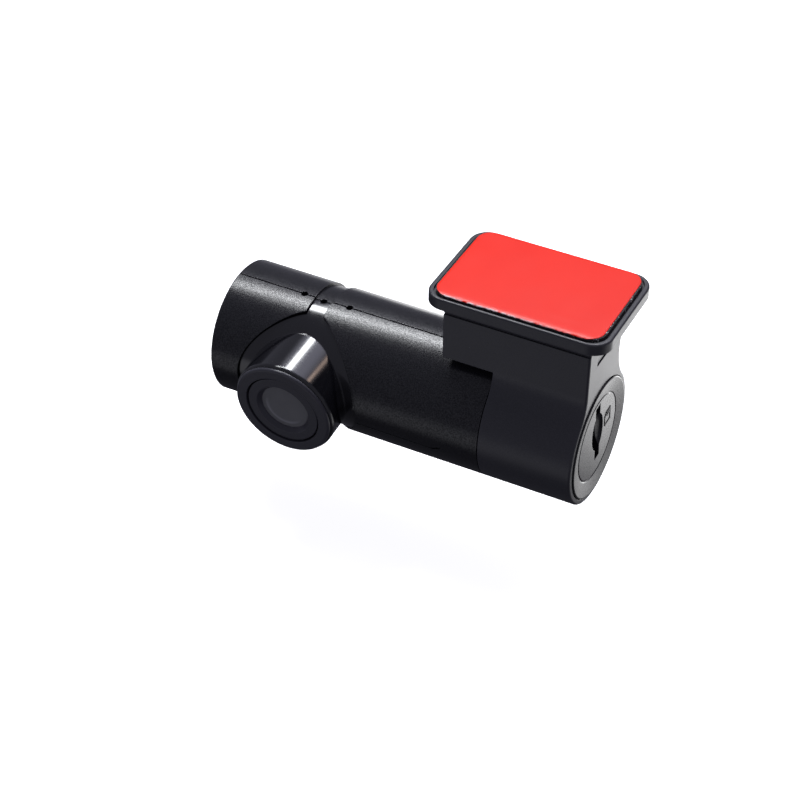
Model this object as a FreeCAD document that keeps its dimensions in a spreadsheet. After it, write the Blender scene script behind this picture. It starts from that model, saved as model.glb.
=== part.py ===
"""Cylindrical dash camera on a sliding, windscreen-mounted bracket.

Frame: millimetres, +Z up. The origin is the centre of the adhesive pad's outer face, which
sticks to the windscreen, and +Z points out of that face. +X runs along the camera's barrel,
from the power inlet to the card slot, and -Y is the way the lens looks.

The camera's own pieces are modelled about its tilt axis, with the lens looking along -Y, and
are then turned to the stored tilt and put in place by their Placement.
"""
import math
import os

import FreeCAD
import Part
import Sketcher

doc = FreeCAD.newDocument("dash_camera")
sheet = doc.addObject("Spreadsheet::Sheet", "dims")

DIMENSIONS = {
    # tube of the camera
    "body_radius": 14.0, "body_left": -64.8, "wall": 2.0, "parting_gap": 0.28,
    "trim_depth": 0.5, "band_width": 3.7, "skin": 0.7, "fit_gap": 0.1, "pinhole": 0.7,
    # tilt joint
    "axis_x": 0.25, "axis_y": -2.75, "axis_z": -30.2, "tilt": 6.0, "tilt_up": 80.0,
    "tilt_down": 40.0, "sleeve_left": -4.4, "turning_gap": 0.2, "journal_radius": 11.0,
    "journal_bore": 9.6, "journal_end": 12.0, "land_width": 3.0, "land_end": 9.8,
    "bearing_gap": 0.05, "sleeve_bore": 12.5,
    "stop_pin_radius": 0.8, "stop_track": 12.5, "stop_depth": 1.5, "stop_angle": 200.0,
    # bracket
    "block_half": 15.2, "block_front": 8.0, "block_top": 26.8, "block_bottom": 14.6,
    "neck_radius": 12.2, "neck_height": 16.6, "front_blend": 8.0,
    "rail_head_half": 3.85, "rail_neck_half": 2.25, "rail_length": 26.7, "rail_gap": 0.2,
    "rail_head_low": 20.6, "rail_head_high": 23.3, "rail_inset": 0.2, "end_round": 0.45,
    "shadow_line": 24.85, "shadow_height": 0.55, "shadow_depth": 0.4,
    # mounting plate and adhesive
    "plate_length": 37.6, "plate_width": 25.4, "plate_bottom": -3.05, "plate_top": -0.65,
    "plate_corner": 4.0, "plate_edge": 0.4, "pan_floor": -1.2, "pan_margin": 0.35,
    "pad_length": 35.0, "pad_width": 23.5, "pad_corner": 3.2, "liner_thickness": 0.12,
    # lens
    "lens_x": -45.0, "saddle_radius": 13.42, "barrel_radius": 11.0, "barrel_bore": 9.6,
    "barrel_front": 18.8, "barrel_back": 7.0, "ring_front": 19.5, "ring_radius": 10.6,
    "ring_bore": 8.25, "ring_seat": 17.4, "inner_ring_radius": 7.9, "inner_ring_front": 19.25,
    "aperture": 5.2, "aperture_rim": 6.0, "glass_radius": 5.9, "glass_front": 18.3,
    "glass_thickness": 0.8, "lens_thread": 6.0, "lens_head": 7.2, "lens_head_back": 12.0,
    "lens_back": 6.0, "lens_bore": 4.2,
    # ends
    "cap_radius": 12.7, "cap_seat": 12.85, "cap_back": 12.2, "cap_rim": 15.5, "cap_face": 15.0,
    "cap_disc": 9.1, "cap_groove": 0.12,
    "slot_length": 14.0, "slot_width": 2.2, "slot_height": 1.4,
    "left_cap_radius": 12.7, "left_cap_thickness": 2.0,
    # electronics
    "board_front": 0.95, "board_thickness": 1.0, "board_half": 9.6,
    "card_length": 15.0, "card_width": 11.0, "card_thickness": 0.8, "card_end": 13.4,
    "screw_radius": 0.8, "screw_head": 1.6, "post_radius": 2.2,
}
for row, (alias, number) in enumerate(DIMENSIONS.items(), start=1):
    sheet.set(f"A{row}", alias)
    sheet.set(f"B{row}", str(number))
    sheet.setAlias(f"B{row}", alias)
doc.recompute()


class Size:
    """A number together with the spreadsheet formula that gives it."""

    def __init__(self, value, text=None):
        self.value = float(value)
        self.text = text or repr(float(value))

    def joined(self, other, sign, value):
        """This size and another one under an arithmetic sign."""
        return Size(value, f"({self.text} {sign} {size(other).text})")

    def __add__(self, other):
        return self.joined(other, "+", self.value + size(other).value)

    def __sub__(self, other):
        return self.joined(other, "-", self.value - size(other).value)

    def __rsub__(self, other):
        return size(other) - self

    def __mul__(self, other):
        return self.joined(other, "*", self.value * size(other).value)

    def __truediv__(self, other):
        return self.joined(other, "/", self.value / size(other).value)

    def __neg__(self):
        return Size(-self.value, f"(0 - {self.text})")


def size(value):
    """Any number as a Size."""
    return value if isinstance(value, Size) else Size(value)


def dim(alias):
    """The Size of one spreadsheet cell."""
    return Size(sheet.get(alias), f"dims.{alias}")


def bind(obj, **sizes):
    """Bind properties of an object to spreadsheet formulas."""
    for name, value in sizes.items():
        setattr(obj, name, size(value).value)
        obj.setExpression(name, size(value).text)


def put(obj, x=0, y=0, z=0):
    """Bind the base of an object's placement."""
    for axis, value in zip("xyz", (x, y, z)):
        obj.setExpression(f"Placement.Base.{axis}", size(value).text)
    return obj


# ---- primitives -----------------------------------------------------------------------------
TURNS = {
    "X": FreeCAD.Rotation(FreeCAD.Vector(0, 1, 0), 90),
    "Y": FreeCAD.Rotation(FreeCAD.Vector(1, 0, 0), 90),
    "Z": FreeCAD.Rotation(),
}


def rod(along, radius, length, x=0, y=0, z=0):
    """A cylinder that grows from its base towards +X, -Y or +Z."""
    obj = doc.addObject("Part::Cylinder", "rod")
    obj.Placement = FreeCAD.Placement(FreeCAD.Vector(), TURNS[along])
    bind(obj, Radius=radius, Height=length)
    return put(obj, x, y, z)


def wedge(radius, length, x, start, sweep):
    """A sector of a cylinder along +X, from a start angle measured from +Y towards +Z."""
    obj = rod("X", radius, length, x)
    turn = FreeCAD.Rotation(FreeCAD.Vector(1, 0, 0), size(start).value + 90)
    obj.Placement.Rotation = turn.multiply(TURNS["X"])
    bind(obj, Angle=sweep)
    return obj


def block(x, y, z):
    """A box between two limits along each axis."""
    obj = doc.addObject("Part::Box", "block")
    low = [size(limits[0]) for limits in (x, y, z)]
    high = [size(limits[1]) for limits in (x, y, z)]
    spans = [top - bottom for bottom, top in zip(low, high)]
    bind(obj, Length=spans[0], Width=spans[1], Height=spans[2])
    return put(obj, *low)


def ellipsoid(x, y, z, at):
    """An ellipsoid of three semi-axes about a point."""
    obj = doc.addObject("Part::Ellipsoid", "ellipsoid")
    obj.Angle1, obj.Angle2, obj.Angle3 = -90, 90, 360
    bind(obj, Radius1=z, Radius2=x, Radius3=y)
    return put(obj, *at)


def fuse(*shapes):
    """One solid from several that touch."""
    obj = doc.addObject("Part::MultiFuse", "fuse")
    obj.Shapes = list(shapes)
    obj.Refine = True
    return obj


def cut(base, *tools):
    """A solid less all the tools."""
    obj = doc.addObject("Part::Cut", "cut")
    obj.Base = base
    obj.Tool = tools[0] if len(tools) == 1 else fuse(*tools)
    obj.Refine = True
    return obj


def common(*shapes):
    """What several solids share."""
    obj = doc.addObject("Part::MultiCommon", "common")
    obj.Shapes = list(shapes)
    return obj


def group(*shapes):
    """Solids that share one node, or one solid that needs a placement over its own."""
    obj = doc.addObject("Part::Compound", "group")
    obj.Links = list(shapes)
    return obj


def pipe(along, outer, inner, length, x=0, y=0, z=0):
    """A tube; the bore runs past neither end."""
    return cut(rod(along, outer, length, x, y, z), rod(along, inner, length, x, y, z))


# ---- sketched bodies ------------------------------------------------------------------------
def origin_plane(body, role):
    """One of a body's own origin planes."""
    return next(part for part in body.Origin.OriginFeatures if part.Role == role)


def new_sketch(body, role):
    """An empty sketch on one of a body's origin planes."""
    sketch = body.newObject("Sketcher::SketchObject", "sketch")
    sketch.AttachmentSupport = [(origin_plane(body, role), "")]
    sketch.MapMode = "FlatFace"
    return sketch


def pin_point(sketch, index, x, y):
    """Tie a line's start point to two spreadsheet formulas."""
    for kind, value in (("DistanceX", x), ("DistanceY", y)):
        rule = sketch.addConstraint(Sketcher.Constraint(kind, -1, 1, index, 1, value.value))
        sketch.setExpression(f"Constraints[{rule}]", value.text)


def outline(body, role, points):
    """A closed outline of straight lines through the given points."""
    sketch = new_sketch(body, role)
    corners = [(size(x), size(y)) for x, y in points]
    for here, after in zip(corners, corners[1:] + corners[:1]):
        start = FreeCAD.Vector(here[0].value, here[1].value, 0)
        end = FreeCAD.Vector(after[0].value, after[1].value, 0)
        sketch.addGeometry(Part.LineSegment(start, end))
    count = len(corners)
    for index in range(count):
        sketch.addConstraint(Sketcher.Constraint("Coincident", index, 2, (index + 1) % count, 1))
    for index, corner in enumerate(corners):
        pin_point(sketch, index, *corner)
    return sketch


def turned(name, axis, points, angle=360.0, role="XY_Plane", backwards=False):
    """A body of revolution from (along, radius) points about X or the lens axis."""
    body = doc.addObject("PartDesign::Body", name)
    sketch = outline(body, role, points)
    revolution = body.newObject("PartDesign::Revolution", "revolution")
    revolution.Profile = sketch
    revolution.ReferenceAxis = (sketch, [axis])
    revolution.Angle = angle
    revolution.Reversed = backwards
    return body


def lens_turned(name, points):
    """A body of revolution about the lens axis from (distance in front of X, radius) points."""
    return turned(name, "V_Axis", [(radius, -size(ahead)) for ahead, radius in points])


def rounded_slab(name, length, width, corner, low, high):
    """A body padded upwards from a rectangle with rounded corners."""
    body = doc.addObject("PartDesign::Body", name)
    half_x, half_y = size(length) / 2, size(width) / 2
    corners = [(-half_x, -half_y), (half_x, -half_y), (half_x, half_y), (-half_x, half_y)]
    pad = body.newObject("PartDesign::Pad", "pad")
    pad.Profile = outline(body, "XY_Plane", corners)
    bind(pad, Length=size(high) - low)
    doc.recompute()
    uprights = [f"Edge{i}" for i, edge in enumerate(pad.Shape.Edges, start=1)
                if edge.BoundBox.ZLength > 0.5 * pad.Length.Value and edge.BoundBox.XLength < 0.01]
    fillet = body.newObject("PartDesign::Fillet", "corners")
    fillet.Base = (pad, uprights)
    bind(fillet, Radius=corner)
    return put(body, z=low)


def eased(body, radius, level, tolerance=0.01):
    """Round the edges of a body's outer wall that lie at one height of its own frame."""
    doc.recompute()
    tip = body.Tip
    edges = [f"Edge{i}" for i, edge in enumerate(tip.Shape.Edges, start=1)
             if edge.BoundBox.ZLength < tolerance and abs(edge.CenterOfMass.z - level) < tolerance]
    fillet = body.newObject("PartDesign::Fillet", "eased")
    fillet.Base = (tip, edges)
    bind(fillet, Radius=radius)
    return body


# ---- placing the finished pieces ------------------------------------------------------------
PARTS = []


def finish(obj, label):
    """Name a finished piece and list it for export."""
    obj.Label = label
    PARTS.append(obj)
    return obj


def in_camera(obj, label, along=0):
    """Turn a camera piece to the stored tilt and move it onto the tilt axis."""
    obj.Placement = FreeCAD.Placement(FreeCAD.Vector(), FreeCAD.Rotation(FreeCAD.Vector(1, 0, 0), 1))
    obj.setExpression("Placement.Rotation.Angle", "dims.tilt")
    put(obj, dim("axis_x") + along, dim("axis_y"), dim("axis_z"))
    return finish(obj, label)


def on_axis(obj, label):
    """Move a bracket piece, which doesn't tilt, onto the tilt axis."""
    put(obj, dim("axis_x"), dim("axis_y"), dim("axis_z"))
    return finish(obj, label)


# ---- shared measures ------------------------------------------------------------------------
body_radius = dim("body_radius")
inner_radius = body_radius - dim("wall")
trim_radius = body_radius - dim("trim_depth")
web_radius = inner_radius + dim("skin")
body_left = dim("body_left")
body_right = dim("sleeve_left") - dim("turning_gap")
sleeve_left = dim("sleeve_left")
sleeve_right = dim("block_half")
lens_x = dim("lens_x")
board_front = dim("board_front")
board_back = board_front + dim("board_thickness")
CLEAR = Size(20.0)                      # longer than any wall that a tool cuts through
NECK_FOOT = dim("neck_height") * body_radius / (body_radius + dim("neck_radius"))
SHELL_SCREW_X = (-29.5, -10.0)
BOARD_SCREW_AT = ((-54.0, 6.5), (-54.0, -6.5))
LENS_POST = Size(9.9)                   # sensor board screws, either side of the lens axis
SEAM_HOLES = {"microphone": -4.4, "led": 0.0, "reset": 5.9}     # along X from the lens axis


def eased_corner(end, radius, ease):
    """Profile points that round a turned part's outer corner, from its side to its end face."""
    turns = [math.radians(angle) for angle in (0, 30, 60, 90)]
    return [(end - ease * (1 - math.sin(turn)), radius - ease * (1 - math.cos(turn)))
            for turn in turns]


# ---- tube shells ----------------------------------------------------------------------------
def half_tube(name, backwards):
    """Half of the tube with its journal, turned half way round from the parting plane."""
    cap_seat = body_left + dim("left_cap_thickness") + 0.2
    bore = dim("journal_bore")
    end = dim("journal_end")
    points = [
        (body_left, dim("left_cap_radius") + dim("fit_gap")),
        (body_left, body_radius - 0.3), (body_left + 0.3, body_radius),
        (body_right, body_radius), (body_right, dim("journal_radius")),
        (end - 1.7, dim("journal_radius")), (end - 1.7, dim("journal_radius") - 0.8),
        (end - 0.9, dim("journal_radius") - 0.8), (end - 0.9, dim("journal_radius")),
        (end, dim("journal_radius")), (end, bore), (body_right - 2, bore),
        (body_right - 2, inner_radius), (cap_seat, inner_radius),
        (cap_seat, dim("left_cap_radius") + dim("fit_gap")),
        (cap_seat - 0.7, dim("left_cap_radius") + dim("fit_gap")),
        (cap_seat - 0.7, dim("left_cap_radius") + 0.6),
        (cap_seat - 1.5, dim("left_cap_radius") + 0.6),
        (cap_seat - 1.5, dim("left_cap_radius") + dim("fit_gap")),
    ]
    return turned(name, "H_Axis", points, 180, "XZ_Plane", backwards)


def parting_slab():
    """The thin gap between the two half tubes."""
    gap = dim("parting_gap") / 2
    return block((body_left - 1, CLEAR), (-gap, gap), (-CLEAR, CLEAR))


def seam_holes():
    """Pinholes along the top of the parting line."""
    return [rod("Z", dim("pinhole"), 5, lens_x + offset, 0, 10) for offset in SEAM_HOLES.values()]


def band_slot(floor_radius):
    """The ring that the trim band takes out of the tube, down to a floor radius."""
    width = dim("band_width") + dim("fit_gap") * 2
    return pipe("X", body_radius + 1, floor_radius, width, lens_x - width / 2)


def tongue(half_width, end):
    """A prism along the lens axis with a long round-ended outline, from the lens to its end."""
    straight = block((lens_x, end), (-CLEAR, -5), (-size(half_width), half_width))
    return fuse(straight, rod("Y", half_width, CLEAR - 5, end, -5))


def crescent_line():
    """The engraved line beside the lens: thin along its length and widest round its end."""
    floor = rod("X", body_radius - 0.4, 60, lens_x - 1)
    between = cut(tongue(3.3, -14.9), tongue(3.0, -15.5), floor)
    return common(between, block((lens_x, CLEAR), (-CLEAR, 0), (-4, -2.1)))


def make_front_shell():
    """Front half of the tube, with screw posts, the tilt stop pin and the lens opening."""
    tube = half_tube("front_half", False)
    posts = [rod("Y", dim("post_radius"), 12.2, x, -0.2) for x in SHELL_SCREW_X]
    pilots = [rod("Y", dim("screw_radius") + 0.02, 8, x, -0.1) for x in SHELL_SCREW_X]
    angle = math.radians(dim("stop_angle").value)
    pin_y = dim("stop_track") * math.cos(angle)
    pin_z = dim("stop_track") * math.sin(angle)
    pin = rod("X", dim("stop_pin_radius"), dim("stop_depth") + 1, body_right - 1, pin_y, pin_z)
    saddle_seat = cut(rod("Y", dim("saddle_radius") + dim("fit_gap"), CLEAR, lens_x, 0),
                      rod("X", web_radius, 40, lens_x - 20))
    lens_hole = rod("Y", dim("barrel_radius") + 0.6, CLEAR, lens_x, 0)
    shell = cut(fuse(tube, *posts, pin), band_slot(web_radius), saddle_seat, lens_hole,
                parting_slab(), crescent_line(), *pilots, *seam_holes())
    return in_camera(shell, "front_shell")


def make_rear_shell():
    """Rear half of the tube, with the screws' bosses and the main board's rests."""
    tube = half_tube("rear_half", True)
    bosses = [rod("Y", 2.4, 12.4 - board_back, x, 12.4) for x in SHELL_SCREW_X]
    rests = [rod("Y", 1.9, 10.6 - board_back, x, 10.6, z) for x, z in BOARD_SCREW_AT]
    holes = [rod("Y", dim("screw_radius") + 0.15, 15, x, 15) for x in SHELL_SCREW_X]
    sinks = [rod("Y", dim("screw_head") + 0.15, 4.6, x, 15) for x in SHELL_SCREW_X]
    pilots = [rod("Y", 0.65, 5, x, board_back + 4.9, z) for x, z in BOARD_SCREW_AT]
    shell = cut(fuse(tube, *bosses, *rests), band_slot(trim_radius), parting_slab(),
                *holes, *sinks, *pilots, *seam_holes())
    return in_camera(shell, "rear_shell")


# ---- lens housing and optics ----------------------------------------------------------------
def make_lens_housing():
    """Glossy saddle, half band and barrel in one moulding."""
    skin = pipe("X", trim_radius, web_radius + 0.05, 40, lens_x - 20)
    saddle = common(skin, rod("Y", dim("saddle_radius"), CLEAR, lens_x, 0))
    half_band = dim("band_width") / 2
    front = block((lens_x - half_band, lens_x + half_band),
                  (-CLEAR, -dim("parting_gap") / 2), (-CLEAR, CLEAR))
    band = common(skin, front)
    barrel = lens_turned("barrel", [
        (dim("barrel_back"), dim("barrel_bore")), (dim("barrel_back"), dim("barrel_radius")),
        *eased_corner(dim("barrel_front"), dim("barrel_radius"), 0.7),
        (dim("barrel_front"), dim("barrel_bore")),
    ])
    put(barrel, lens_x)
    posts = [rod("Y", 1.5, 10.2, lens_x + LENS_POST * side, -2.6) for side in (-1, 1)]
    pilots = [rod("Y", 0.55, 6, lens_x + LENS_POST * side, -2.5) for side in (-1, 1)]
    bore = rod("Y", dim("barrel_bore"), CLEAR, lens_x, -9)
    hole = rod("Z", dim("pinhole"), 5, lens_x, 0, 10)
    shape = cut(fuse(cut(fuse(saddle, band), bore), barrel, *posts), hole, *pilots)
    return in_camera(shape, "lens_housing")


def make_optics():
    """Rings, window and lens elements, all turned about the lens axis."""
    ring_front, ring_radius = dim("ring_front"), dim("ring_radius")
    seat = dim("ring_seat")
    front_ring = lens_turned("front_ring", [
        (seat - 0.6, 7.6), (seat - 0.6, dim("barrel_bore") - 0.05),
        (dim("barrel_front") + 0.05, dim("barrel_bore") - 0.05),
        (dim("barrel_front") + 0.05, ring_radius), *eased_corner(ring_front, ring_radius, 0.5),
        (ring_front, dim("ring_bore")),
        (seat, dim("ring_bore")), (seat, 7.6),
    ])
    in_camera(front_ring, "lens_front_ring", lens_x)
    outer_radius, inner_front = dim("inner_ring_radius"), dim("inner_ring_front")
    glass_front = dim("glass_front")
    inner_ring = lens_turned("inner_ring", [
        (seat, dim("glass_radius") + 0.1), (seat, outer_radius),
        *eased_corner(inner_front, outer_radius, 0.15),
        (inner_front, dim("aperture_rim")), (glass_front + 0.02, dim("aperture")),
        (glass_front + 0.02, dim("glass_radius") + 0.1),
    ])
    in_camera(inner_ring, "lens_inner_ring", lens_x)
    glass = rod("Y", dim("glass_radius"), dim("glass_thickness"),
                0, dim("glass_thickness") - glass_front)
    in_camera(group(glass), "cover_glass", lens_x)
    thread, head, bore = dim("lens_thread"), dim("lens_head"), dim("lens_bore")
    head_front = seat - 1
    barrel = lens_turned("lens_tube", [
        (dim("lens_back"), bore), (dim("lens_back"), thread), (dim("lens_head_back"), thread),
        (dim("lens_head_back"), head), (head_front, head), (head_front, 6.0),
        (head_front - 0.5, 5.25), (13.0, 5.25), (13.0, bore),
    ])
    in_camera(barrel, "lens_barrel", lens_x)
    in_camera(lens_element(5.2, 13.05, 16.0, 8.0), "front_lens", lens_x)
    in_camera(lens_element(4.15, 9.9, 12.6, 9.0), "middle_lens", lens_x)
    in_camera(lens_element(4.15, 6.3, 9.3, 6.0), "rear_lens", lens_x)


def lens_element(radius, back, front, bulge):
    """A plano-convex element: a cylinder trimmed by a ball of the bulge radius."""
    ball = doc.addObject("Part::Sphere", "ball")
    bind(ball, Radius=bulge)
    put(ball, 0, bulge - front)
    return common(rod("Y", radius, front - back, 0, -back), ball)


def make_sensor_module():
    """Lens holder, filter and sensor chip on their own small board."""
    board_face = Size(2.6)
    base = block((-8, 8), (-5.6, -board_face), (-7, 7))
    cavity = block((-5, 5), (-4.6, -board_face + 0.1), (-4.5, 4.5))
    window = block((-3.6, 3.6), (-6, -4), (-3.6, 3.6))
    neck = pipe("Y", 7.4, dim("lens_thread") + 0.05, 4.9, 0, -5.6)
    in_camera(fuse(cut(base, cavity, window), neck), "lens_holder", lens_x)
    in_camera(group(block((-4.2, 4.2), (-4.6, -4.2), (-4.2, 4.2))), "ir_filter", lens_x)
    in_camera(group(block((-4, 4), (-3.5, -board_face), (-3.4, 3.4))), "image_sensor", lens_x)
    plate = block((-11.8, 11.8), (-board_face, -1.8), (-7.5, 7.5))
    holes = [rod("Y", 0.8, 2, LENS_POST * side, -1.5) for side in (-1, 1)]
    in_camera(cut(plate, *holes), "sensor_board", lens_x)
    screws = [screw(0.5, 1.1, 0.8, 4.5, (LENS_POST * side, -1.8, 0)) for side in (-1, 1)]
    in_camera(group(*screws), "sensor_screws", lens_x)
    in_camera(group(block((-5, 5), (-1.8, board_front), (-1.5, 1.5))), "board_connector", lens_x)


def screw(radius, head_radius, head_height, length, at, forward=True):
    """A pan-head screw along Y with a cross recess, its head bearing at a point."""
    x, y, z = (size(value) for value in at)
    if forward:
        shank_from, head_from, top = y, y + head_height, y + head_height
    else:
        shank_from, head_from, top = y + length, y, y - head_height
    shank = rod("Y", radius, length, x, shank_from, z)
    head = rod("Y", head_radius, head_height, x, head_from, z)
    deep = head_height * 0.5
    arm, slot = head_radius * 0.6, head_radius * 0.14
    recess = [block((x - a, x + a), (top - deep, top + deep), (z - b, z + b))
              for a, b in ((arm, slot), (slot, arm))]
    return cut(fuse(shank, head), *recess)


# ---- electronics ----------------------------------------------------------------------------
def make_boards():
    """Main board on the parting plane, with what is soldered to it."""
    half = dim("board_half")
    wide = block((-62.4, body_right - 2.2), (board_front, board_back), (-half, half))
    narrow = block((body_right - 2.3, 11.8), (board_front, board_back), (-8.6, 8.6))
    holes = [rod("Y", 1.1, 3, x, 3) for x in SHELL_SCREW_X]
    holes += [rod("Y", 0.9, 3, x, 3, z) for x, z in BOARD_SCREW_AT]
    in_camera(cut(fuse(wide, narrow), *holes), "main_board")
    screws = [screw(0.6, 1.4, 0.9, 5, (x, board_front, z), False) for x, z in BOARD_SCREW_AT]
    in_camera(group(*screws), "board_screws")


def chip(label, x, y, z):
    """A plain rectangular component."""
    return in_camera(group(block(x, y, z)), label)


def make_components():
    """What is soldered to the main board, apart from the sockets and the switch."""
    chip("processor", (-25.3, -14.3), (board_back, board_back + 1.1), (-5.5, 5.5))
    chip("thermal_pad", (-24.8, -14.8), (board_back + 1.1, board_back + 1.9), (-5, 5))
    chip("heat_spreader", (-26.2, -13.4), (board_back + 1.9, board_back + 2.7), (-8, 8))
    chip("memory_chip", (-46, -35), (board_back, board_back + 1.0), (-4.5, 4.5))
    chip("flash_chip", (-38.0, -32.5), (board_front - 0.8, board_front), (-4, 4))
    chip("status_led", (lens_x - 1, lens_x + 1), (-0.55, board_front), (8.2, 10.0))
    capacitors = [rod("X", 3.9, 13, -26, board_front - 3.95, side * 4.4) for side in (-1, 1)]
    in_camera(group(*capacitors), "supercapacitors")
    microphone = rod("Z", 2.1, 1.5, lens_x + SEAM_HOLES["microphone"], 0, 9.7)
    in_camera(fuse(microphone, rod("Z", 1.2, 0.4, lens_x + SEAM_HOLES["microphone"], 0, 11.1)),
              "microphone")


def make_reset_switch():
    """A tact switch whose plunger stands under its pinhole."""
    at = lens_x + SEAM_HOLES["reset"]
    case = block((at - 1.75, at + 1.75), (-1.4, board_front), (7.6, 10.4))
    in_camera(cut(case, rod("Z", 0.65, 1, at, 0, 9.7)), "reset_switch")
    in_camera(group(rod("Z", 0.6, 1.5, at, 0, 10.0)), "reset_plunger")


def make_card():
    """Push-push socket on the board and the memory card in it."""
    centre = dim("slot_height")
    half = dim("card_width") / 2
    thick = dim("card_thickness") / 2
    mouth = dim("cap_back") - 0.3
    inner_end = dim("card_end") - dim("card_length")
    case = block((inner_end - 1, mouth), (-board_front, board_front), (centre - 7, centre + 7))
    bay = block((inner_end - 0.1, mouth + 1), (-thick - 0.1, thick + 0.1),
                (centre - half - 0.1, centre + half + 0.1))
    in_camera(cut(case, bay), "card_socket")
    card = block((inner_end, dim("card_end")), (-thick, thick), (centre - half, centre + half))
    corner = block((inner_end - 0.1, inner_end + 5.5), (-thick - 0.1, thick + 0.1),
                   (centre + half - 1.3, centre + half + 1))
    ridge = block((dim("card_end") - 1, dim("card_end")), (-thick - 0.15, -thick),
                  (centre - half, centre + half))
    in_camera(fuse(cut(card, corner), ridge), "memory_card")


def make_power_socket():
    """Power inlet at the far end of the tube, on the board's edge."""
    left = body_left + 2.4
    shell = block((left, left + 5.4), (-1.5, board_front), (-3.75, 3.75))
    bay = block((left - 1, left + 4.6), (-1.2, 0.65), (-3.4, 3.4))
    contacts = block((left + 0.6, left + 4.8), (-0.6, 0.05), (-1.9, 1.9))
    in_camera(fuse(cut(shell, bay), contacts), "power_socket")


# ---- ends of the tube -----------------------------------------------------------------------
def make_left_cap():
    """Snap-in disc with the mouth of the power inlet."""
    radius, thick = dim("left_cap_radius"), dim("left_cap_thickness")
    left = body_left + 0.2
    right = left + thick
    disc = turned("left_disc", "H_Axis", [
        (left, 0), (left, radius - 0.4), (left + 0.4, radius), (right - 1.3, radius),
        (right - 1.3, radius + 0.5), (right - 0.8, radius + 0.5), (right - 0.8, radius),
        (right, radius), (right, 0),
    ])
    mouth = block((left - 1, right + 1), (-1.85, 1.3), (-4.1, 4.1))
    return in_camera(cut(disc, mouth), "left_cap")


def make_end_cap():
    """Dished disc with the card slot and its finger scoop."""
    back, rim, face = dim("cap_back"), dim("cap_rim"), dim("cap_face")
    radius, disc_radius, groove = dim("cap_radius"), dim("cap_disc"), dim("cap_groove")
    bore = dim("journal_bore")
    disc = turned("cap_disc", "H_Axis", [
        (back, 0), (back, bore - 0.7), (back - 1.8, bore - 0.7), (back - 1.8, bore - 0.02),
        (back, bore - 0.02), (back, radius), *eased_corner(rim, radius, 0.25),
        (face, disc_radius + groove * 3), (face - groove, disc_radius + groove * 2),
        (face - groove, disc_radius), (face, disc_radius - groove), (face, 0),
    ])
    half, width, centre = dim("slot_length") / 2, dim("slot_width") / 2, dim("slot_height")
    slot = block((back - 2, face + 1), (-width, width), (centre - half, centre + half))
    scoop = ellipsoid(1.2, 2.65, 4.65, (face, 0, centre))
    return in_camera(cut(disc, slot, scoop), "end_cap")


# ---- tilt joint and bracket -----------------------------------------------------------------
def make_tilt_hardware():
    """What holds the journal in the sleeve and gives the tilt its friction."""
    journal, end = dim("journal_radius"), dim("journal_end")
    bore = dim("sleeve_bore")
    clip = cut(wedge(bore - 0.3, 0.7, end - 1.65, 20, 320),
               rod("X", journal - 0.75, 1, end - 1.8))
    in_camera(clip, "retaining_ring")
    land_end = dim("land_end")
    on_axis(pipe("X", bore - 0.2, journal + 0.1, 0.45, land_end + 0.03), "wave_washer")
    on_axis(pipe("X", bore - 0.02, journal + 0.02, 3, 1.2), "damping_ring")


def neck_block():
    """The block over the tube: flat in front, hollowed behind, and open under its far end."""
    front, half = dim("block_front"), dim("block_half")
    radius, height = dim("neck_radius"), dim("neck_height")
    body = block((-half, half), (-front, 14), (NECK_FOOT, dim("block_top")))
    centre_y = math.sqrt((body_radius + radius).value ** 2 - height.value ** 2)
    behind = rod("X", radius, 40, -20, centre_y, height)
    under = block((-half - 1, sleeve_left), (-CLEAR, CLEAR), (0, dim("block_bottom")))
    return cut(body, behind, under)


def front_web():
    """The hollow blend between the block's flat front and the sleeve."""
    blend = dim("front_blend")
    centre_y = -dim("block_front") - blend
    centre_z = math.sqrt((body_radius + blend).value ** 2 - centre_y.value ** 2)
    reach = centre_y * body_radius / (body_radius + blend)
    web = block((sleeve_left, sleeve_right), (reach, -dim("block_front")), (NECK_FOOT, centre_z))
    return cut(web, rod("X", blend, 40, -20, centre_y, centre_z))


def sleeve_bores():
    """Two journal lands with a relief between them, the ring bay and the seat of the end cap."""
    bore, land = dim("sleeve_bore"), dim("land_width")
    through = rod("X", dim("journal_radius") + dim("bearing_gap"), 40, -20)
    relief = rod("X", bore, dim("land_end") - sleeve_left - land * 2, sleeve_left + land)
    ring_bay = rod("X", bore, 10, dim("land_end"))
    return [through, relief, ring_bay, rod("X", dim("cap_seat"), 10, dim("cap_back") - 0.1)]


def stop_track():
    """The arc that the stop pin runs in, as long as the tilt's travel."""
    pin, track = dim("stop_pin_radius"), dim("stop_track")
    half_pin = math.degrees(math.asin(pin.value / track.value)) + 0.5
    start = dim("stop_angle") + dim("tilt") - dim("tilt_up") - half_pin
    sweep = dim("tilt_up") + dim("tilt_down") + half_pin * 2
    depth = dim("stop_depth") + 0.2
    outer = wedge(track + pin + 0.1, depth, sleeve_left, start, sweep)
    return cut(outer, rod("X", track - pin - 0.1, depth + 2, sleeve_left - 1))


def rail(clearance):
    """The T-shaped rail, measured from the tilt axis, or its slot when given a clearance."""
    half, low, high = dim("rail_head_half"), dim("rail_head_low"), dim("rail_head_high")
    neck = dim("rail_neck_half")
    gap = size(clearance)
    reach = (sleeve_right - dim("rail_length") - gap, sleeve_right - dim("rail_inset") + gap * 4)
    head = block(reach, (-half - gap, half + gap), (low - gap, high + gap))
    under_plate = dim("plate_bottom") - dim("axis_z") + 0.1
    stem = block(reach, (-neck - gap, neck + gap), (high - 0.1, under_plate))
    return fuse(head, stem)


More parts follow.
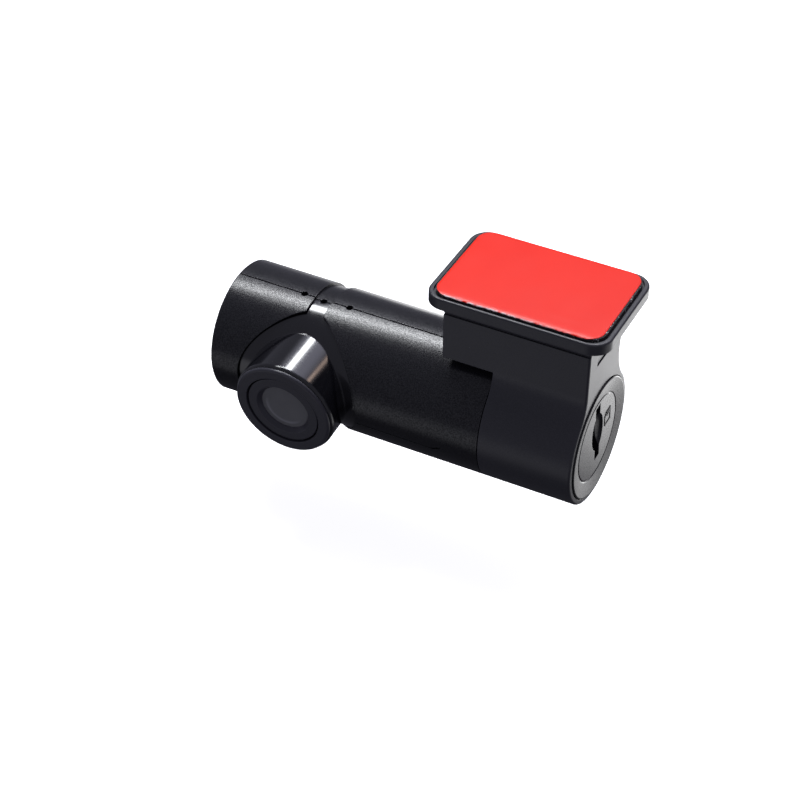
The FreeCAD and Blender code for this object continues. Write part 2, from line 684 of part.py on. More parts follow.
def rounded_end(solid):
    """Round the outline of the face at the card-slot end."""
    doc.recompute()
    edge_radius, end = dim("end_round").value, sleeve_right.value
    fillet = doc.addObject("Part::Fillet", "rounded_end")
    fillet.Base = solid
    fillet.Edges = [(i, edge_radius, edge_radius)
                    for i, edge in enumerate(solid.Shape.Edges, start=1)
                    if abs(edge.BoundBox.XMin - end) < 0.01 and edge.BoundBox.XLength < 0.01]
    return fillet


def make_bracket():
    """Sleeve round the journal, with the block above it that runs on the plate's rail."""
    sleeve = rod("X", body_radius, sleeve_right - sleeve_left, sleeve_left)
    outside = rounded_end(fuse(sleeve, neck_block(), front_web()))
    front, low = -dim("block_front"), dim("shadow_line")
    shadow_line = block((-CLEAR, CLEAR), (front - 1, front + dim("shadow_depth")),
                        (low, low + dim("shadow_height")))
    bracket = cut(outside, *sleeve_bores(), stop_track(), rail(dim("rail_gap")), shadow_line)
    return on_axis(bracket, "bracket")


def make_mount():
    """Plate with the rail under it, and the adhesive pad with its liner."""
    bottom, top, floor = dim("plate_bottom"), dim("plate_top"), dim("pan_floor")
    plate = rounded_slab("plate", dim("plate_length"), dim("plate_width"), dim("plate_corner"),
                         bottom, top)
    eased(plate, dim("plate_edge"), (top - bottom).value)
    margin = dim("pan_margin")
    pan = rounded_slab("pan", dim("pad_length") + margin * 2, dim("pad_width") + margin * 2,
                       dim("pad_corner") + margin, floor, 1)
    rails = rail(0)
    put(rails, dim("axis_x"), dim("axis_y"), dim("axis_z"))
    finish(cut(fuse(plate, rails), pan), "mount_plate")
    liner = dim("liner_thickness")
    finish(rounded_slab("foam", dim("pad_length"), dim("pad_width"), dim("pad_corner"),
                        floor, -liner), "foam_pad")
    finish(rounded_slab("liner", dim("pad_length"), dim("pad_width"), dim("pad_corner"),
                        -liner, 0), "release_liner")


def make_shell_screws():
    """The two screws that pull the tube's halves together."""
    screws = [screw(dim("screw_radius"), dim("screw_head"), 1.1, 15, (x, 10.4, 0))
              for x in SHELL_SCREW_X]
    return in_camera(group(*screws), "shell_screws")


# ---- build, check and export ----------------------------------------------------------------
def build():
    """Make every piece."""
    make_mount()
    make_bracket()
    make_tilt_hardware()
    make_front_shell()
    make_rear_shell()
    make_left_cap()
    make_end_cap()
    make_shell_screws()
    make_lens_housing()
    make_optics()
    make_sensor_module()
    make_boards()
    make_components()
    make_reset_switch()
    make_card()
    make_power_socket()
    doc.recompute()


def check():
    """Stop if any object failed or any piece isn't a valid solid."""
    for obj in doc.Objects:
        if "Invalid" in obj.State or "Error" in obj.State:
            raise RuntimeError(f"{obj.Name} failed: {obj.State}")
    for obj in PARTS:
        if obj.Shape.isNull() or not obj.Shape.isValid() or not obj.Shape.Solids:
            raise RuntimeError(f"{obj.Label} has no valid shape")


def export():
    """Write every piece to its own STEP file and print its size."""
    os.makedirs("parts", exist_ok=True)
    for obj in PARTS:
        obj.Shape.exportStep(os.path.join("parts", f"{obj.Label}.step"))
        box = obj.Shape.BoundBox
        print(f"{obj.Label:18} solids {len(obj.Shape.Solids)} volume {obj.Shape.Volume:9.2f} "
              f"x {box.XMin:7.2f} {box.XMax:7.2f} y {box.YMin:7.2f} {box.YMax:7.2f} "
              f"z {box.ZMin:7.2f} {box.ZMax:7.2f}")


build()
check()
export()
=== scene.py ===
"""Dash camera: finishes, finer outer pieces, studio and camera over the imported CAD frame.

Everything is in metres in the CAD's frame: the origin is the centre of the adhesive face,
+X runs along the tube to the card-slot end, -Y is the way the lens looks and +Z is up.
"""
import math

import bmesh
import bpy
from mathutils import Matrix, Quaternion, Vector, noise


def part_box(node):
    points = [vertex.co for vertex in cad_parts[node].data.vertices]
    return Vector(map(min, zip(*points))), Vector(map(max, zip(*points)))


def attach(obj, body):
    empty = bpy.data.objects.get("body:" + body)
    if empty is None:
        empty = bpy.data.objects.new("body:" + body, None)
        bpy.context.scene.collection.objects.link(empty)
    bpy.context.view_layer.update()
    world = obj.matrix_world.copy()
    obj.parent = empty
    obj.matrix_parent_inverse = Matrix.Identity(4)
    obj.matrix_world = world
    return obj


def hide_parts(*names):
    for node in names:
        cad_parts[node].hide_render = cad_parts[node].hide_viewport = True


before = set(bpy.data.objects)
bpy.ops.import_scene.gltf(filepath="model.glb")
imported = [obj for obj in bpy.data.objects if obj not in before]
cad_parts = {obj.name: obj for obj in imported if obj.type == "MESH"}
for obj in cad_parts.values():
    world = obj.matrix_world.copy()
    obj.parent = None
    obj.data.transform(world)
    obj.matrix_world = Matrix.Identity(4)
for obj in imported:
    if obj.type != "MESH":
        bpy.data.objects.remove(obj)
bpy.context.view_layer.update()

MM = 0.001
TILT_AXIS = Vector((0.25, -2.75, -30.2)) * MM
TILT = math.radians(6)
CAMERA_BODY = Matrix.Translation(TILT_AXIS) @ Matrix.Rotation(TILT, 4, "X")
WINDOW_CENTRE = CAMERA_BODY @ (Vector((-45.0, -18.3, 0)) * MM)
FOAM_LOW, FOAM_HIGH = (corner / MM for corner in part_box("foam_pad"))
FOAM_SIZE = FOAM_HIGH - FOAM_LOW


# ---- node materials -------------------------------------------------------------------------
def link(tree, socket, value):
    """Gives an input a value, or joins it to another node's output."""
    if isinstance(value, bpy.types.NodeSocket):
        tree.links.new(value, socket)
    elif isinstance(value, tuple) and len(socket.default_value) == 4:
        socket.default_value = (*value, 1)
    else:
        socket.default_value = value


def add_node(tree, kind, values=None, **properties):
    """A shader node with its properties set, and its inputs given values or joined."""
    node = tree.nodes.new("ShaderNode" + kind)
    for name, value in properties.items():
        setattr(node, name, value)
    for name, value in (values or {}).items():
        link(tree, node.inputs[name], value)
    return node


def map_range(tree, value, from_low, from_high, low, high, interpolation="LINEAR"):
    """A value carried from one range to another and clamped there."""
    values = {"Value": value, "From Min": from_low, "From Max": from_high,
              "To Min": low, "To Max": high}
    return add_node(tree, "MapRange", values, interpolation_type=interpolation).outputs["Result"]


def multiply(tree, first, second):
    """The product of two values."""
    return add_node(tree, "Math", {0: first, 1: second}, operation="MULTIPLY").outputs[0]


class Shader:
    """A node material round one Principled shader, with the texture helpers it needs."""

    def __init__(self, name, **values):
        self.material = bpy.data.materials.new(name)
        self.material.use_nodes = True
        self.tree = self.material.node_tree
        self.tree.nodes.clear()
        self.out = self.add("OutputMaterial")
        self.body = self.add("BsdfPrincipled")
        self.tree.links.new(self.body.outputs[0], self.out.inputs["Surface"])
        self.place = self.add("TexCoord").outputs["Object"]
        for socket, value in values.items():
            self.set(socket.replace("_", " "), value)

    def add(self, kind, values=None, **properties):
        """A node in this material."""
        return add_node(self.tree, kind, values, **properties)

    def set(self, name, value):
        """Gives one of the Principled shader's inputs a value or a link."""
        link(self.tree, self.body.inputs[name], value)

    def stretched(self, factors):
        """Texture coordinates scaled unevenly, for brushed or ribbed patterns."""
        return self.add("Mapping", {"Vector": self.place, "Scale": factors}).outputs[0]

    def noise(self, period, detail=2.0, place=None):
        """Noise, 0 to 1, with features about one period wide, in metres."""
        values = {"Vector": place or self.place, "Scale": 1 / period, "Detail": detail}
        return self.add("TexNoise", values).outputs["Fac"]

    def cells(self, period):
        """Distance in a pattern of cells about one period apart."""
        values = {"Vector": self.place, "Scale": 1 / period}
        return self.add("TexVoronoi", values).outputs["Distance"]

    def along(self, axis):
        """Distance along one axis of the frame, in metres."""
        return self.add("SeparateXYZ", {"Vector": self.place}).outputs[axis]

    def ramp(self, value, from_low, from_high, low, high):
        """A value carried from one range to another and clamped there."""
        return map_range(self.tree, value, from_low, from_high, low, high)

    def times(self, first, second):
        """The product of two values."""
        return multiply(self.tree, first, second)

    def blend(self, factor, first, second):
        """One colour fading into another."""
        node = self.add("Mix", data_type="RGBA")
        for socket, value in zip(("Factor_Float", "A_Color", "B_Color"), (factor, first, second)):
            link(self.tree, next(i for i in node.inputs if i.identifier == socket), value)
        return next(o for o in node.outputs if o.identifier == "Result_Color")

    def soft_edge(self, radius):
        """A normal that rounds sharp edges over a radius in metres."""
        return self.add("Bevel", {"Radius": radius}, samples=6).outputs[0]

    def worn_edge(self, radius):
        """How sharply the surface turns here: 0 on a face and 1 along an edge."""
        bevel = self.add("Bevel", {"Radius": radius}, samples=4).outputs[0]
        flat = self.add("NewGeometry").outputs["Normal"]
        cosine = self.add("VectorMath", {0: bevel, 1: flat}, operation="DOT_PRODUCT")
        return self.ramp(cosine.outputs["Value"], 0.97, 0.75, 0, 1)

    def bump(self, height, distance, normal=None):
        """A normal disturbed by a height, 0 to 1, over a distance in metres."""
        values = {"Height": height, "Distance": distance, "Strength": 1.0}
        if normal is not None:
            values["Normal"] = normal
        return self.add("Bump", values).outputs[0]


MOULDED_SHINE = 0.42                    # specular level, between dull pits and bright tips


def make_moulded(name, colour, roughness, grain, depth, edge, sparkle):
    """Spark-eroded black moulding: a grain that glitters in highlights, dust and rubbed edges."""
    s = Shader(name, IOR=1.5)
    speck = s.noise(grain, 1.0)
    s.set("Normal", s.bump(speck, depth, s.soft_edge(edge)))
    patchy = s.noise(0.006, 3.0)
    s.set("Roughness", s.ramp(patchy, 0, 1, roughness - 0.03, roughness + 0.03))
    pits = s.noise(grain * 0.8, 0.5)
    dull, bright = MOULDED_SHINE * (1 - sparkle), MOULDED_SHINE * (1 + sparkle)
    s.set("Specular IOR Level", s.ramp(pits, 0.35, 0.65, dull, bright))
    worn = tuple(min(1.0, part * 2.4 + 0.012) for part in colour)
    tint = s.blend(s.ramp(speck, 0.35, 0.75, 0, 0.15), colour, worn)
    dust = s.ramp(s.cells(0.0042), 0.028, 0.014, 0, 0.6)
    dusty = s.blend(dust, tint, (0.2, 0.2, 0.21))
    s.set("Base Color", s.blend(s.worn_edge(edge), dusty, worn))
    return s.material


def make_gloss_plastic():
    """Glossy black moulding: orange-peel ripple, faint smears and a little dust."""
    s = Shader("gloss_plastic", IOR=1.5, Coat_Weight=0.55, Coat_Roughness=0.08)
    s.set("Normal", s.bump(s.noise(0.0016, 2.0), 0.0000012, s.soft_edge(0.0006)))
    smear = s.noise(0.004, 4.0, s.stretched((1, 0.35, 1)))
    s.set("Roughness", s.ramp(smear, 0.45, 0.75, 0.11, 0.2))
    dust = s.ramp(s.cells(0.0011), 0.035, 0.02, 0, 0.35)
    s.set("Base Color", s.blend(dust, (0.006, 0.006, 0.008), (0.25, 0.25, 0.26)))
    return s.material


def make_liner_film():
    """Red release film: slightly wavy and shiny, with a highlight painted pale into its colour
    along the front edge where it rolls over.
    """
    s = Shader("liner_film", IOR=1.45, Specular_IOR_Level=0.3)
    mottle = s.noise(0.009, 3.0, s.stretched((1, 0.45, 1)))
    red = s.blend(s.ramp(mottle, 0.3, 0.7, 0, 1), (1.0, 0.021, 0.005), (0.97, 0.018, 0.004))
    # Painted highlight: near the front edge the red is whitened in ragged patches, strongest
    # towards the left. This stands in for the light that the rolled-over edge catches.
    front = FOAM_LOW.y * MM
    edge = s.ramp(s.along("Y"), front + 0.000325, front + 0.000125, 0, 1)
    patches = s.ramp(s.noise(0.0019, 3.0, s.stretched((1, 0, 0))), 0.4, 0.52, 0, 1)
    leftward = s.ramp(s.along("X"), 0.013, -0.002, 0.15, 1)
    painted_edge_highlight = s.times(s.times(edge, patches), leftward)
    s.set("Base Color", s.blend(painted_edge_highlight, red, (0.95, 0.8, 0.8)))
    s.set("Normal", s.bump(s.noise(0.006, 2.0), 0.00001))
    s.set("Roughness", s.ramp(s.noise(0.006, 1.0), 0, 1, 0.29, 0.35))
    return s.material


def make_foam():
    """Closed-cell acrylic foam tape: near black and dull, with glints painted white into its colour
    in sparse cells, mostly at its right end.
    """
    s = Shader("foam", IOR=1.4, Sheen_Weight=0.1)
    cell = s.cells(0.00026)
    s.set("Normal", s.bump(cell, 0.00006))
    grey = s.blend(s.ramp(cell, 0.1, 0.6, 0, 1), (0.006, 0.006, 0.007), (0.03, 0.03, 0.032))
    # Painted highlight: sparse cells in clumps turn nearly white, stronger past the film's right
    # end. These stand in for glints on the foam.
    clumps = s.ramp(s.noise(0.0022, 2.0), 0.5, 0.56, 0, 1)
    glint = s.ramp(s.cells(0.0005), 0.34, 0.26, 0, 1)
    rightward = s.ramp(s.along("X"), 0.016, 0.017, 0.15, 1)
    bright = s.times(s.times(clumps, glint), rightward)
    s.set("Base Color", s.blend(bright, grey, (0.9, 0.9, 0.9)))
    s.set("Roughness", s.ramp(s.noise(0.0005), 0.5, 0.62, 0.75, 0.2))
    return s.material


def make_metal(name, colour, roughness, stretch):
    """Metal with a drawn or turned grain and slightly uneven polish."""
    s = Shader(name, Metallic=1.0)
    grain = s.noise(0.0002, 3.0, s.stretched(stretch))
    s.set("Normal", s.bump(grain, 0.000002, s.soft_edge(0.00005)))
    s.set("Roughness", s.ramp(grain, 0.3, 0.7, roughness - 0.06, roughness + 0.08))
    dull = tuple(part * 0.72 for part in colour)
    s.set("Base Color", s.blend(s.ramp(s.noise(0.002, 4.0), 0.35, 0.7, 0, 1), colour, dull))
    return s.material


def make_window_glass():
    """Flat cover glass: a mottled grey painted in for its reflections, and a lighter arc on its
    lower side painted in for the reflection of the lens rim behind it.
    """
    s = Shader("window_glass", IOR=1.45, Roughness=0.4)
    # Painted reflection: the grey base colour stands in for what the glass reflects, mottled a
    # little.
    glass_mottle = s.ramp(s.noise(0.004, 2.0), 0.3, 0.7, 0, 1)
    grey = s.blend(glass_mottle, (0.17, 0.17, 0.176), (0.19, 0.19, 0.197))
    offset = s.add("VectorMath", {0: s.place, 1: WINDOW_CENTRE}, operation="SUBTRACT").outputs[0]
    away = s.add("VectorMath", {0: offset}, operation="LENGTH").outputs["Value"]
    # Painted reflection: a thin ring round the window's centre, paler towards its lower left.
    rim = s.times(s.ramp(away, 0.0036, 0.0041, 0, 1), s.ramp(away, 0.0042, 0.0045, 1, 0))
    lower = s.add("VectorMath", {0: offset, 1: (-0.45, 0, -0.89)}, operation="DOT_PRODUCT")
    painted_rim_reflection = s.times(rim, s.ramp(lower.outputs["Value"], 0.0004, 0.003, 0, 0.8))
    s.set("Base Color", s.blend(painted_rim_reflection, grey, (0.34, 0.34, 0.37)))
    s.set("Alpha", 0.85)
    return s.material


def make_lens_glass():
    """Coated lens element: nearly black, with a faint violet and green bloom of reflected light
    painted into its colour by facing angle.
    """
    s = Shader("lens_glass", IOR=1.6, Coat_Weight=0.6, Coat_Roughness=0.01)
    # Painted reflection: the colour turns from violet where the surface faces the view to green
    # where it turns away.
    gaze = s.add("LayerWeight", {"Blend": 0.35}).outputs["Facing"]
    s.set("Base Color", s.blend(gaze, (0.012, 0.006, 0.022), (0.004, 0.02, 0.012)))
    s.set("Roughness", s.ramp(s.noise(0.0015, 3.0), 0.4, 0.7, 0.02, 0.06))
    s.set("Specular Tint", (0.75, 0.7, 1.0))
    return s.material


def make_circuit_board():
    """Black solder mask over a faint pattern of tracks."""
    s = Shader("circuit_board", IOR=1.5)
    track = s.add("TexBrick", {"Vector": s.place, "Scale": 700.0, "Mortar Size": 0.04})
    lines = track.outputs["Fac"]
    s.set("Normal", s.bump(lines, 0.00002, s.bump(s.noise(0.0002), 0.000004)))
    s.set("Base Color", s.blend(lines, (0.006, 0.03, 0.014), (0.01, 0.07, 0.03)))
    s.set("Roughness", s.ramp(s.noise(0.001, 3.0), 0.3, 0.7, 0.25, 0.4))
    return s.material


def make_matte(name, colour, roughness, period, depth):
    """A plain moulded or rubbery part with fine grain and slight mottling."""
    s = Shader(name, IOR=1.46)
    grain = s.noise(period, 3.0)
    s.set("Normal", s.bump(grain, depth, s.soft_edge(0.00006)))
    dark = tuple(part * 0.7 for part in colour)
    s.set("Base Color", s.blend(s.ramp(s.noise(period * 8, 3.0), 0.3, 0.7, 0, 1), dark, colour))
    s.set("Roughness", s.ramp(grain, 0.3, 0.7, roughness - 0.06, roughness + 0.06))
    return s.material


MOULDED = {                             # colour, roughness, grain, bump depth, edge radius, sparkle
    "shell_plastic": ((0.0105, 0.0105, 0.013), 0.25, 0.0003, 0.000009, 0.00015, 0.42),
    "mount_plastic": ((0.036, 0.036, 0.043), 0.33, 0.00022, 0.000004, 0.0002, 0.15),
    "ring_plastic": ((0.04, 0.04, 0.05), 0.3, 0.00016, 0.000002, 0.00015, 0.1),
}
METALS = {                              # colour, roughness, stretch of the grain
    "spring_steel": ((0.5, 0.5, 0.52), 0.3, (1, 1, 1)),
    "screw_steel": ((0.28, 0.28, 0.3), 0.35, (1, 0.2, 1)),
    "bare_aluminium": ((0.78, 0.79, 0.8), 0.35, (1, 12, 12)),
    "socket_metal": ((0.7, 0.69, 0.66), 0.25, (8, 1, 1)),
}
MATTES = {                              # colour, roughness, grain, bump depth
    "rubber": ((0.02, 0.02, 0.022), 0.7, 0.0001, 0.00001),
    "anodised_aluminium": ((0.012, 0.012, 0.014), 0.35, 0.00008, 0.000003),
    "holder_plastic": ((0.015, 0.015, 0.016), 0.5, 0.0001, 0.000005),
    "filter_glass": ((0.02, 0.09, 0.1), 0.1, 0.0005, 0.000001),
    "chip_black": ((0.02, 0.02, 0.021), 0.55, 0.00012, 0.000006),
    "thermal_rubber": ((0.35, 0.42, 0.5), 0.75, 0.0002, 0.00001),
    "led_plastic": ((0.8, 0.8, 0.72), 0.2, 0.0003, 0.000002),
    "capacitor_sleeve": ((0.02, 0.03, 0.09), 0.3, 0.0004, 0.000004),
    "card_plastic": ((0.016, 0.016, 0.018), 0.35, 0.00012, 0.000003),
}


def make_finishes():
    """Every finish, by the record's name for it."""
    made = {
        "gloss_plastic": make_gloss_plastic(),
        "foam": make_foam(),
        "liner": make_liner_film(),
        "window_glass": make_window_glass(),
        "lens_glass": make_lens_glass(),
        "circuit_board": make_circuit_board(),
    }
    for make, table in ((make_moulded, MOULDED), (make_metal, METALS), (make_matte, MATTES)):
        made.update({name: make(name, *values) for name, values in table.items()})
    return made


def finish_cad_nodes():
    """Gives every CAD node the finish that the record names for it."""
    for name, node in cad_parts.items():
        for slot in node.material_slots:
            key = slot.material.name.split(".")[0]
            slot.material = finishes.get(key, finishes["shell_plastic"])
            if key not in finishes:
                print("no finish for", name, key)


# ---- mesh building --------------------------------------------------------------------------
def new_piece(name, mesh, body, slot):
    """Links a finished mesh as a piece that rides on a body, in one of the record's finishes."""
    piece = bpy.data.objects.new(name, mesh)
    bpy.context.scene.collection.objects.link(piece)
    mesh.materials.clear()
    mesh.materials.append(finishes[slot])
    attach(piece, body)
    return piece


NEAR_EDGE = (0.0, 0.06, 0.16, 0.3, 0.5, 0.8)    # a sheet's points next to an edge, in mm from it
SHEET_STEP = 0.55                       # between its other points


def spaced(length):
    """Positions across a length in mm, close together near both ends."""
    inner = length - NEAR_EDGE[-1] * 2
    count = max(1, round(inner / SHEET_STEP))
    middle = [NEAR_EDGE[-1] + inner * i / count for i in range(1, count)]
    return [*NEAR_EDGE, *middle, *(length - value for value in reversed(NEAR_EDGE))]


def pad_point(x, y, length, width, corner):
    """A point of a rectangle about the origin, drawn in so that its corners are round."""
    out_x = (abs(x) - length / 2 + corner) / corner
    out_y = (abs(y) - width / 2 + corner) / corner
    if out_x <= 0 or out_y <= 0:
        return x, y
    across = out_x * math.sqrt(1 - out_y ** 2 / 2)
    along = out_y * math.sqrt(1 - out_x ** 2 / 2)
    return (math.copysign(length / 2 - corner + across * corner, x),
            math.copysign(width / 2 - corner + along * corner, y))


def add_sheet(mesh, length, width, corner, height):
    """A sheet of quads in a round-cornered rectangle; height(x, y, edge distance) in mm."""
    rows = []
    for across in spaced(width):
        row = []
        for along in spaced(length):
            x, y = pad_point(along - length / 2, across - width / 2, length, width, corner)
            edge = min(along, length - along, across, width - across)
            row.append(mesh.verts.new((x, y, height(x, y, edge))))
        rows.append(row)
    for low_row, high_row in zip(rows, rows[1:]):
        for i in range(len(low_row) - 1):
            mesh.faces.new((low_row[i], low_row[i + 1], high_row[i + 1], high_row[i]))
    return rows


def rim_of(rows):
    """The outer points of a sheet, in order round it."""
    return [*rows[0], *(row[-1] for row in rows[1:]), *reversed(rows[-1][:-1]),
            *(row[0] for row in reversed(rows[1:-1]))]


def bridge(mesh, first, second):
    """A band of quads between two closed loops of points."""
    for i in range(len(first)):
        j = (i + 1) % len(first)
        mesh.faces.new((first[j], first[i], second[i], second[j]))


def smooth_mesh(name, mesh, offset=(0, 0)):
    """A Blender mesh from a bmesh drawn in mm, moved sideways and shaded smooth."""
    bmesh.ops.translate(mesh, vec=(*offset, 0), verts=mesh.verts)
    bmesh.ops.scale(mesh, vec=(MM, MM, MM), verts=mesh.verts)
    bmesh.ops.recalc_face_normals(mesh, faces=mesh.faces)
    result = bpy.data.meshes.new(name)
    mesh.to_mesh(result)
    mesh.free()
    result.shade_smooth()
    return result


# ---- adhesive pad ---------------------------------------------------------------------------
FILM_LENGTH, FILM_WIDTH, FILM_CORNER = FOAM_SIZE.x - 0.7, FOAM_SIZE.y - 0.05, 3.1
FILM_OFFSET = (-0.05, -0.02)
FILM_THICKNESS = 0.045
TAPE_LENGTH, TAPE_WIDTH, TAPE_CORNER = FOAM_SIZE.x - 0.1, FOAM_SIZE.y - 0.1, 3.15
TAPE_LAYERS = 6
TAPE_WAIST = 0.1                        # how far its cut sides pull in half way down
DROOP_REACH, DROOP_DEPTH = 1.1, 0.3     # the front edge's roll-over, from front to back and down


def droop(from_front):
    """How far the front edge has rolled over at a distance behind it: a quarter of an ellipse."""
    inside = min(1.0, max(0.0, from_front / DROOP_REACH))
    return DROOP_DEPTH * (1 - math.sqrt(1 - (1 - inside) ** 2))


def film_top(x, y, edge):
    """Height of the film: nearly flat, one soft crease, and a front edge that droops."""
    ripple = math.sin(x * 0.55 + y * 0.21) * math.sin(y * 0.48 - x * 0.13)
    along_crease = x - 9 - (y + 7.2) * 0.2
    crease = math.exp(-((y + 7.6 - along_crease ** 2 * 0.03) / 0.35) ** 2)
    crease *= math.exp(-(along_crease / 3.6) ** 4)
    ragged = 0.75 + 0.25 * math.sin(x * 3.1 + math.sin(x * 1.3) * 2)
    rolled = max(0.0, 1 - edge / 0.4) ** 2 * 0.05
    flat = -0.02 + 0.006 * ripple + 0.013 * crease
    return flat - max(rolled, ragged * droop(y + FILM_WIDTH / 2))


def make_film():
    """Release film over the adhesive, a little off centre on it."""
    mesh = bmesh.new()
    size = (FILM_LENGTH, FILM_WIDTH, FILM_CORNER)
    top = add_sheet(mesh, *size, film_top)
    under = add_sheet(mesh, *size, lambda x, y, edge: film_top(x, y, edge) - FILM_THICKNESS)
    bridge(mesh, rim_of(top), rim_of(under))
    film = new_piece("release_film", smooth_mesh("release_film", mesh, FILM_OFFSET),
                     "mount", "liner")
    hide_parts("release_liner")


def foam_top(x, y, edge):
    """Height of the foam's adhesive face: crowned a little, with its edge rounded over."""
    crown = -0.135 + 0.01 * math.cos(x * 0.09) * math.cos(y * 0.13)
    rounded = max(0.0, 1 - edge / 0.3) ** 2 * 0.05
    return crown - rounded - droop(y + TAPE_WIDTH / 2 + 0.02)


def make_foam_tape():
    """Foam tape whose cut sides pull in a little between its faces, with torn cells on them."""
    mesh = bmesh.new()
    size = (TAPE_LENGTH, TAPE_WIDTH, TAPE_CORNER)
    top = rim_of(add_sheet(mesh, *size, foam_top))
    bottom = rim_of(add_sheet(mesh, *size, lambda x, y, edge: FOAM_LOW.z + 0.01))
    last = top
    for layer in range(1, TAPE_LAYERS):
        depth = layer / TAPE_LAYERS
        waist = TAPE_WAIST * math.sin(math.pi * depth)
        ring = []
        for upper, lower in zip(top, bottom):
            point = upper.co.lerp(lower.co, depth)
            torn = noise.noise(point * 2.6) * 0.06
            shrink = 1 - (waist + max(torn, -0.02)) / 12
            ring.append(mesh.verts.new((point.x * shrink, point.y * shrink, point.z)))
        bridge(mesh, last, ring)
        last = ring
    bridge(mesh, last, bottom)
    foam = new_piece("foam_tape", smooth_mesh("foam_tape", mesh), "mount", "foam")
    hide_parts("foam_pad")


# ---- card symbol ----------------------------------------------------------------------------
SYMBOL_CENTRE = Vector((15.0, 5.0, 1.4))
SYMBOL_SIZE = (2.6, 3.1)
SYMBOL_CUT = 0.7                        # its clipped corner
SYMBOL_HEIGHT = 0.12
SYMBOL_LINE = 0.2
CONTACTS = 3
CONTACT_PITCH = 0.5
CONTACT_ENDS = (0.45, 1.15)             # below the card's top edge


def add_bar(mesh, start, end, width, height):
    """A raised bar between two points of the end face, given as (y, z) in mm."""
    start, end = Vector(start), Vector(end)
    along = (end - start).normalized() * width / 2
    side = Vector((-along.y, along.x))
    corners = (start - along - side, start - along + side, end + along + side, end + along - side)
    base = [mesh.verts.new((0, *corner)) for corner in corners]
    top = [mesh.verts.new((height, *corner)) for corner in corners]
    mesh.faces.new(top)
    mesh.faces.new(reversed(base))
    bridge(mesh, top, base)


def make_card_symbol():
    """Raised outline of a memory card with a cut corner and three contacts."""
    mesh = bmesh.new()
    half_y, half_z = SYMBOL_SIZE[0] / 2, SYMBOL_SIZE[1] / 2
    outline = [(-half_y, -half_z), (half_y, -half_z), (half_y, half_z),
               (SYMBOL_CUT - half_y, half_z), (-half_y, half_z - SYMBOL_CUT)]
    for start, end in zip(outline, outline[1:] + outline[:1]):
        add_bar(mesh, start, end, SYMBOL_LINE, SYMBOL_HEIGHT)
    for i in range(CONTACTS):
        y = (i - 0.5) * CONTACT_PITCH
        upper, lower = (half_z - end for end in CONTACT_ENDS)
        add_bar(mesh, (y, upper), (y, lower), SYMBOL_LINE, SYMBOL_HEIGHT)
    data = smooth_mesh("card_symbol", mesh)
    data.shade_flat()
    data.transform(CAMERA_BODY @ Matrix.Translation(SYMBOL_CENTRE * MM))
    new_piece("card_symbol", data, "camera", "shell_plastic")


# ---- studio ---------------------------------------------------------------------------------
AIM = Vector((-26.13, -6.62, -33.59)) * MM
CARD_END = Vector((15.2, -2.75, -30.2)) * MM
CAMERA_DISTANCE, CAMERA_LENS = 0.41749, 92.677
CAMERA_AZIMUTH, CAMERA_ELEVATION, CAMERA_ROLL = 26.612, 39.051, 0.628
FLOOR_SIZE, FLOOR_HEIGHT = 6.0, -0.062


def make_camera():
    """The photograph's viewpoint, as azimuth from -Y, elevation and roll."""
    azimuth, elevation = math.radians(CAMERA_AZIMUTH), math.radians(CAMERA_ELEVATION)
    back = Vector((math.sin(azimuth) * math.cos(elevation),
                   -math.cos(azimuth) * math.cos(elevation), math.sin(elevation)))
    data = bpy.data.cameras.new("camera")
    data.sensor_width = 36
    data.lens = CAMERA_LENS
    data.clip_start, data.clip_end = 0.01, 20
    camera = bpy.data.objects.new("camera", data)
    bpy.context.scene.collection.objects.link(camera)
    camera.location = AIM + back * CAMERA_DISTANCE
    turn = (-back).to_track_quat("-Z", "Y")
    roll = Quaternion((0, 0, 1), math.radians(CAMERA_ROLL))
    camera.rotation_mode = "QUATERNION"
    camera.rotation_quaternion = turn @ roll
    bpy.context.scene.camera = camera


def soften(data, fade):
    """Makes an area light fade out towards its edges, over a share of its size."""
    data.use_nodes = True
    tree = data.node_tree
    place = add_node(tree, "NewGeometry").outputs["Parametric"]
    across = add_node(tree, "SeparateXYZ", {"Vector": place}).outputs
    strengths = []
    for axis in "XY":
        inward = add_node(tree, "Math", {0: across[axis], 1: 0.5}, operation="PINGPONG")
        strengths.append(map_range(tree, inward.outputs[0], 0, fade, 0, 1, "SMOOTHSTEP"))
    link(tree, tree.nodes["Emission"].inputs["Strength"], multiply(tree, *strengths))


def softbox(name, towards, distance, size, power, turn=0.0, colour=(1, 1, 1), fade=0.3, at=AIM):
    """A soft-edged rectangular light in a direction from a point, facing it and turned."""
    data = bpy.data.lights.new(name, "AREA")
    data.shape = "RECTANGLE"
    data.size, data.size_y = size
    data.energy = power
    data.color = colour
    soften(data, fade)
    light = bpy.data.objects.new(name, data)
    bpy.context.scene.collection.objects.link(light)
    direction = Vector(towards).normalized()
    light.location = at + direction * distance
    light.rotation_mode = "QUATERNION"
    spin = Quaternion((0, 0, 1), math.radians(turn))
    light.rotation_quaternion = direction.to_track_quat("Z", "Y") @ spin
    light.visible_camera = False


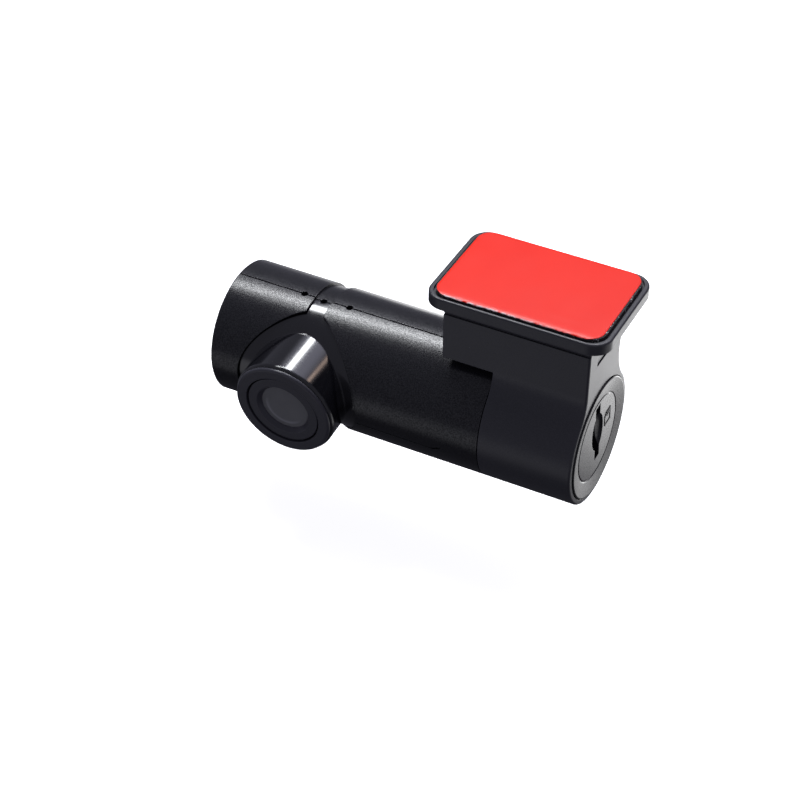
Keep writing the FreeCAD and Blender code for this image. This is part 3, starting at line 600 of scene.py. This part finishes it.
def make_world():
    """Dim surroundings, a little brighter round the overhead light and darker underneath."""
    world = bpy.data.worlds.new("studio")
    world.use_nodes = True
    tree = world.node_tree
    place = add_node(tree, "TexCoord").outputs["Generated"]
    overhead = Vector((0.0, 0.5, 0.85)).normalized()
    nearness = add_node(tree, "VectorMath", {0: place, 1: overhead}, operation="DOT_PRODUCT")
    glow = map_range(tree, nearness.outputs["Value"], 0.86, 0.99, 0.2, 1.6, "SMOOTHSTEP")
    height = add_node(tree, "SeparateXYZ", {"Vector": place}).outputs["Z"]
    above = map_range(tree, height, -0.75, -0.3, 0.2, 1)
    background = tree.nodes["Background"]
    link(tree, background.inputs["Color"], (0.98, 0.98, 1.2))
    link(tree, background.inputs["Strength"], multiply(tree, glow, above))
    bpy.context.scene.world = world


def make_lights():
    """Overhead softbox, warm strip, cards behind the tube and its end, and a low front fill."""
    softbox("overhead", (-0.33, 0.4, 0.9), 0.6, (0.56, 0.105), 5.5, 11, (0.96, 0.98, 1))
    softbox("warm_strip", (0.45, 0.53, 0.72), 0.6, (0.045, 0.26), 0.16, 0, (1, 0.74, 0.6))
    softbox("backdrop", (-0.06, 0.94, -0.33), 0.8, (0.75, 0.45), 3.6)
    softbox("end_card", (0.2, 0.84, -0.42), 0.14, (0.16, 0.12), 0.155, fade=0.4, at=CARD_END)
    softbox("right_fill", (0.75, 0.35, -0.5), 0.5, (0.5, 0.4), 0.4)
    softbox("front_card", (-0.35, -0.73, -0.5), 0.7, (0.7, 0.45), 0.4, 0, (0.93, 0.94, 1))


def make_floor():
    """A pale floor that the camera sees and the object's own lighting doesn't."""
    mesh = bpy.data.meshes.new("floor")
    edge = FLOOR_SIZE / 2
    mesh.from_pydata([(-edge, -edge, 0), (edge, -edge, 0), (edge, edge, 0), (-edge, edge, 0)],
                     [], [(0, 1, 2, 3)])
    floor = bpy.data.objects.new("floor", mesh)
    bpy.context.scene.collection.objects.link(floor)
    floor.location.z = FLOOR_HEIGHT
    s = Shader("floor_paper", Roughness=0.9)
    s.set("Base Color", s.blend(s.noise(0.05, 4.0), (0.86, 0.86, 0.86), (0.9, 0.9, 0.9)))
    s.set("Emission Color", (1, 1, 1))
    s.set("Emission Strength", 0.85)
    mesh.materials.append(s.material)
    floor.visible_glossy = False
    floor.visible_diffuse = False
    floor.visible_shadow = False


def set_colour_management():
    """Colours straight through, with no film look."""
    settings = bpy.context.scene.view_settings
    settings.view_transform = "Standard"
    settings.look = "None"
    settings.exposure = 0
    settings.gamma = 1


# ---- the scene ------------------------------------------------------------------------------
finishes = make_finishes()
finish_cad_nodes()
make_film()
make_foam_tape()
make_card_symbol()
make_camera()
make_lights()
make_world()
make_floor()
set_colour_management()
